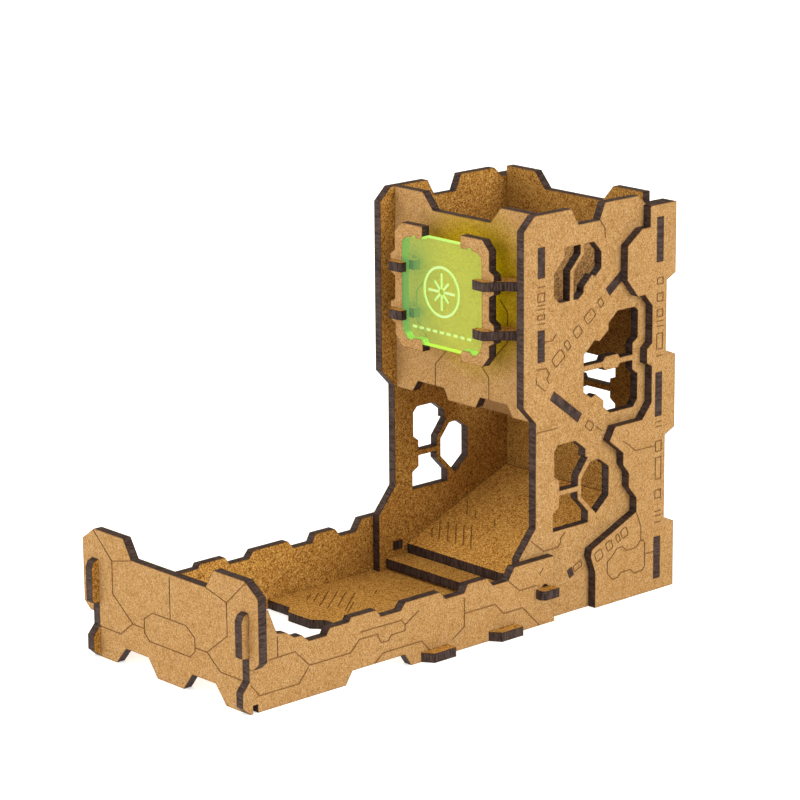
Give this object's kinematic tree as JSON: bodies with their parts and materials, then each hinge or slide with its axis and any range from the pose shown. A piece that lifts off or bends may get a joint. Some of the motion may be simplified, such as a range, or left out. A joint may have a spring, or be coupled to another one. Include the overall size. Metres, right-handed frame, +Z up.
{
  "type": "dice tower",
  "caption": "Small press-fitted dice tower of laser-cut boards, with baffles inside, a ramp, an open rolling tray and a clear emblem plate on the front.",
  "frame": {"origin": "centre of the footprint, on the surface that the tower stands on", "axes": "+X to the right, as seen from the front; +Y towards the back, where the tower stands; the tray is towards -Y; +Z up"},
  "size_m": [0.083, 0.18, 0.1296],
  "materials": {
    "fibreboard": "raw fine fibreboard, speckled tan faces, with scorched dark brown laser-cut edges and fine scorched lines",
    "clear_plate": "translucent fluorescent yellow-green acrylic with bright green cut edges"
  },
  "bodies": {
    "root": {"back_panel": "fibreboard", "bottom_ramp": "fibreboard", "emblem_bracket_left": "fibreboard", "emblem_bracket_right": "fibreboard", "emblem_plate": "clear_plate", "front_step": "fibreboard", "lower_emblem_arm_left": "fibreboard", "lower_emblem_arm_right": "fibreboard", "middle_baffle": "fibreboard", "rear_cladding_left": "fibreboard", "rear_cladding_right": "fibreboard", "side_key_left": "fibreboard", "side_key_right": "fibreboard", "side_panel_left": "fibreboard", "side_panel_right": "fibreboard", "tower_front_panel": "fibreboard", "tray_floor": "fibreboard", "tray_front_panel": "fibreboard", "tray_side_left": "fibreboard", "tray_side_right": "fibreboard", "upper_baffle": "fibreboard", "upper_emblem_arm_left": "fibreboard", "upper_emblem_arm_right": "fibreboard"}
  },
  "joints": []
}
